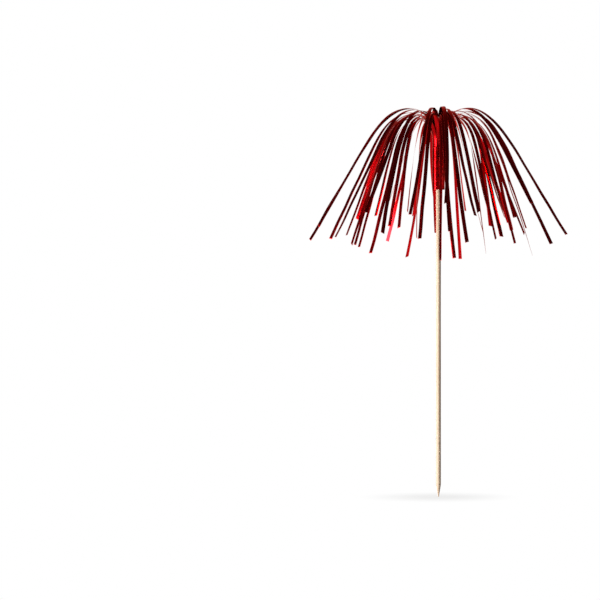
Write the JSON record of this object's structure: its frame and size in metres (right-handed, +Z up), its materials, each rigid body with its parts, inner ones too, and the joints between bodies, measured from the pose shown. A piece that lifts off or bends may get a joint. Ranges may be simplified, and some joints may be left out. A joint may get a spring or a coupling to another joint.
{
  "type": "firework cocktail pick",
  "caption": "Pointed wooden stick with a fountain of metallised film strands, glued and bound round its head by a film wrap, stuck into food or a drink as decoration.",
  "frame": {"origin": "on the axis of the stick, at the shoulder where the round shaft ends and the sharpened point begins", "axes": "+Z up the stick from the shoulder of the point to the fountain of strands; the point lies below the origin; -Y is the side that faces the camera"},
  "size_m": [0.1329, 0.115, 0.2007],
  "materials": {
    "wood": "plain turned wood, uncoated",
    "film": "mirror-bright metallised red film",
    "glue": "set clear glue, hidden"
  },
  "bodies": {
    "root": {"stick": "wood", "glue_sleeve": "glue", "film_wrap": "film", "strand_1_1": "film", "strand_1_2": "film", "strand_1_3": "film", "strand_1_4": "film", "strand_2_1": "film", "strand_2_2": "film", "strand_2_3": "film", "strand_2_4": "film", "strand_2_5": "film", "strand_3_1": "film", "strand_3_2": "film", "strand_3_3": "film", "strand_3_4": "film", "strand_3_5": "film", "strand_4_1": "film", "strand_4_2": "film", "strand_4_3": "film", "strand_4_4": "film", "strand_4_5": "film", "strand_4_6": "film", "strand_5_1": "film", "strand_5_2": "film", "strand_5_3": "film", "strand_5_4": "film", "strand_5_5": "film", "strand_5_6": "film", "strand_6_1": "film", "strand_6_2": "film", "strand_6_3": "film", "strand_6_4": "film", "strand_6_5": "film", "strand_6_6": "film", "strand_6_7": "film", "strand_7_1": "film", "strand_7_2": "film", "strand_7_3": "film", "strand_7_4": "film", "strand_7_5": "film", "strand_7_6": "film", "strand_7_7": "film", "strand_8_1": "film", "strand_8_2": "film", "strand_8_3": "film", "strand_8_4": "film", "strand_8_5": "film", "strand_8_6": "film", "strand_8_7": "film", "strand_8_8": "film", "strand_9_1": "film", "strand_9_2": "film", "strand_9_3": "film", "strand_9_4": "film", "strand_9_5": "film", "strand_9_6": "film", "strand_9_7": "film", "strand_9_8": "film", "strand_9_9": "film"}
  },
  "joints": []
}
